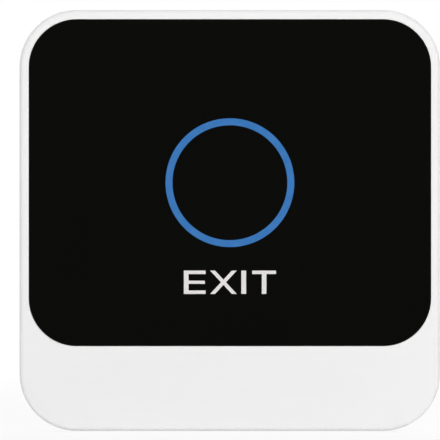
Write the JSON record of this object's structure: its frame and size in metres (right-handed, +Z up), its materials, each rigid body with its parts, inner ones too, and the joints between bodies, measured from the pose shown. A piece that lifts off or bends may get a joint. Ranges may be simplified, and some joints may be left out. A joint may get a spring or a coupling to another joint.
{
  "type": "door exit button",
  "caption": "Touch-sensitive door exit button: a square white wall plate with a flush black panel, a round light ring and a wiring box behind.",
  "frame": {"origin": "centre of the wall plane, which the rear edge of the front frame and the base's flange lie on", "axes": "+X to the right and +Z up as it hangs on the wall, +Y into the wall, so the front faces -Y"},
  "size_m": [0.086, 0.02, 0.086],
  "materials": {
    "white_abs": "fine moulded satin, white",
    "white_abs_base": "plain moulded, white",
    "black_acrylic": "polished black sheet",
    "blue_light_ring": "translucent blue, lit from behind",
    "black_adhesive": "dull foam tape",
    "green_board": "solder-resist lacquer on glass fibre board",
    "zinc_steel": "zinc plated",
    "lamp_white": "clear resin over a pale chip",
    "spring_steel": "nickel plated wire",
    "terminal_green": "moulded polyamide, green",
    "nickel_brass": "nickel plated",
    "tinned_brass": "tin plated",
    "relay_blue": "moulded case, blue",
    "black_epoxy": "dull moulded epoxy",
    "trimmer_blue": "moulded case, blue",
    "rotor_white": "moulded, off-white",
    "capacitor_sleeve": "shrunk sleeve over an aluminium can",
    "black_plastic": "moulded, black",
    "resistor_black": "glazed chip",
    "ceramic_tan": "fired ceramic"
  },
  "bodies": {
    "housing": {"front_frame": "white_abs", "base_housing": "white_abs_base", "touch_panel": "black_acrylic", "light_ring": "blue_light_ring", "panel_adhesive": "black_adhesive", "circuit_board": "green_board", "board_screws": "zinc_steel", "ring_lamps": "lamp_white", "touch_spring": "spring_steel", "terminal_block": "terminal_green", "wire_clamps": "nickel_brass", "contact_tongues": "tinned_brass", "terminal_screws": "zinc_steel", "relay": "relay_blue", "rectifier_diodes": "black_epoxy", "trimmer_body": "trimmer_blue", "filter_capacitor": "capacitor_sleeve", "buzzer": "black_plastic", "voltage_regulator": "black_epoxy", "relay_transistor": "black_epoxy", "touch_chip": "black_epoxy", "timer_chip": "black_epoxy", "chip_resistors": "resistor_black", "ceramic_capacitors": "ceramic_tan"},
    "delay_rotor": {"trimmer_rotor": "rotor_white"}
  },
  "joints": [
    {"name": "delay_setting", "type": "hinge", "parent": "housing", "child": "delay_rotor", "pos_m": [0.0085, 0.0018, -0.00785], "axis": [0, 1, 0], "range_deg": [-130, 130]}
  ]
}
